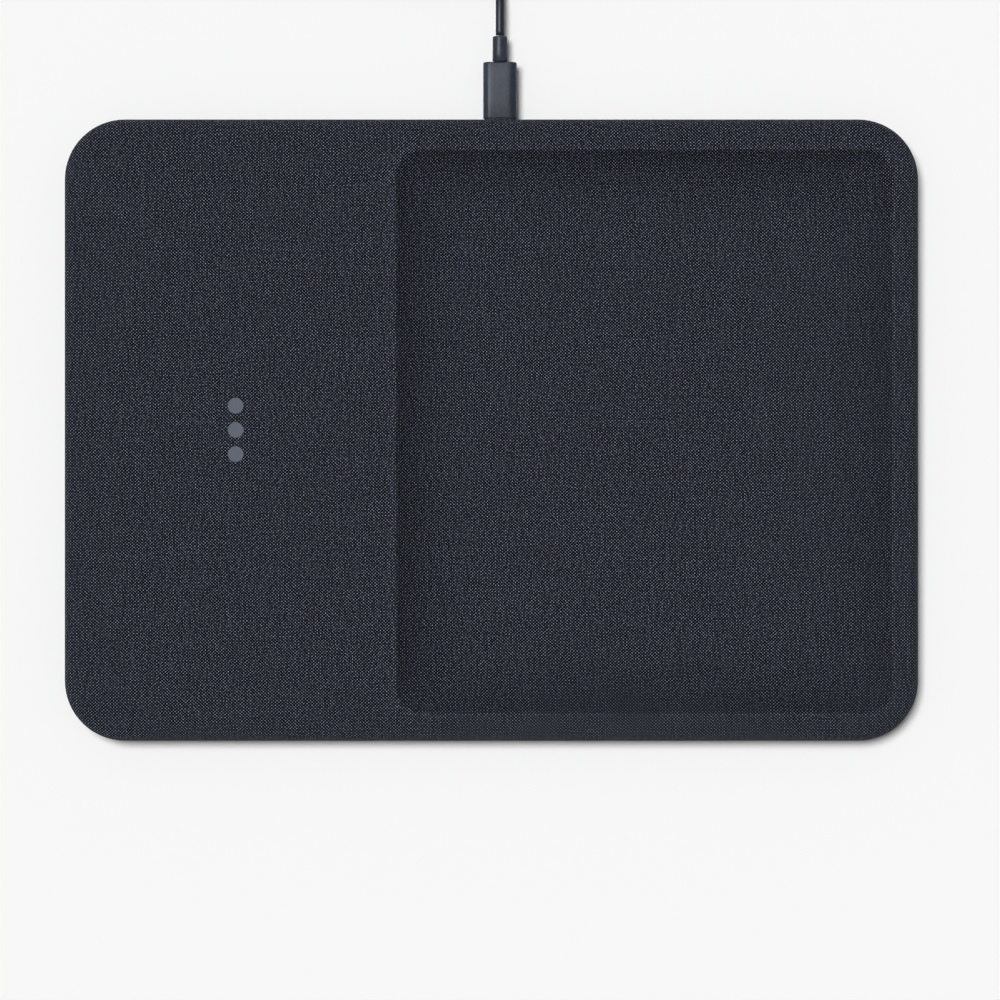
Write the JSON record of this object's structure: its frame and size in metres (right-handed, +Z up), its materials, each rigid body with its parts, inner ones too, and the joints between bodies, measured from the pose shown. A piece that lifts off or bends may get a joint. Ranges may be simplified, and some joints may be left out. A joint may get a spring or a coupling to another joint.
{
  "type": "wireless charging pad",
  "caption": "Flat cloth-wrapped desk pad with a wireless charging platform at one end, a shallow recessed tray at the other and a plug-in cable at the back.",
  "frame": {"origin": "on the surface the pad stands on, under the middle of the pad", "axes": "+X along the pad's length from the charging platform to the tray, +Y to the back edge where the cable plugs in, +Z up"},
  "size_m": [0.249, 0.2638, 0.0131],
  "materials": {
    "cloth": "plain weave, matt",
    "shell_plastic": "fine moulded texture",
    "grip_rubber": "matt",
    "screw_steel": "zinc plated",
    "dot_rubber": "smooth, satin",
    "ballast_steel": "rolled",
    "foam": "open cell",
    "ferrite": "matt ceramic",
    "copper": "enamelled winding",
    "film": "gloss",
    "lead_insulation": "satin",
    "board_laminate": "solder mask",
    "chip_resin": "moulded resin",
    "capacitor_body": "glazed",
    "contact_plastic": "satin",
    "plug_metal": "nickel plated, satin",
    "cord_jacket": "smooth, satin",
    "tie_strap": "matt strap"
  },
  "bodies": {
    "pad": {"fabric_cover": "cloth", "top_shell": "shell_plastic", "bottom_cover": "shell_plastic", "base_grip": "grip_rubber", "cover_screw_1": "screw_steel", "cover_screw_2": "screw_steel", "cover_screw_3": "screw_steel", "cover_screw_4": "screw_steel", "cover_screw_5": "screw_steel", "cover_screw_6": "screw_steel", "dot_back": "dot_rubber", "dot_middle": "dot_rubber", "dot_front": "dot_rubber", "ballast_plate": "ballast_steel", "ballast_screw_1": "screw_steel", "ballast_screw_2": "screw_steel", "ballast_screw_3": "screw_steel", "ballast_screw_4": "screw_steel", "coil_foam": "foam", "coil_carrier": "shell_plastic", "ferrite_sheet": "ferrite", "coil_back": "copper", "coil_front": "copper", "coil_middle": "copper", "coil_film": "film", "coil_lead_1": "lead_insulation", "coil_lead_2": "lead_insulation", "coil_lead_3": "lead_insulation", "main_board": "board_laminate", "board_screw_1": "screw_steel", "board_screw_2": "screw_steel", "power_inductor": "ferrite", "controller_chip": "chip_resin", "driver_chip": "chip_resin", "capacitor_1": "capacitor_body", "capacitor_2": "capacitor_body", "capacitor_3": "capacitor_body", "board_header": "contact_plastic", "port_board": "board_laminate", "port_screw_1": "screw_steel", "port_screw_2": "screw_steel", "port_chip": "chip_resin", "receptacle_shell": "plug_metal", "receptacle_tongue": "contact_plastic", "port_bezel": "shell_plastic", "board_lead": "lead_insulation"},
    "cable": {"cable_plug_shell": "plug_metal", "cable_plug_insert": "contact_plastic", "cable_plug_grip": "cord_jacket", "cable_plug_relief": "cord_jacket", "cord_run": "cord_jacket", "cord_coil": "cord_jacket", "cord_tie": "tie_strap", "cord_tail": "cord_jacket", "far_plug_relief": "cord_jacket", "far_plug_grip": "cord_jacket", "far_plug_shell": "plug_metal", "far_plug_tongue": "contact_plastic"}
  },
  "joints": [
    {"name": "plug_pull", "type": "slide", "parent": "pad", "child": "cable", "axis": [0, 1, 0], "range_m": [0, 0.02]}
  ]
}
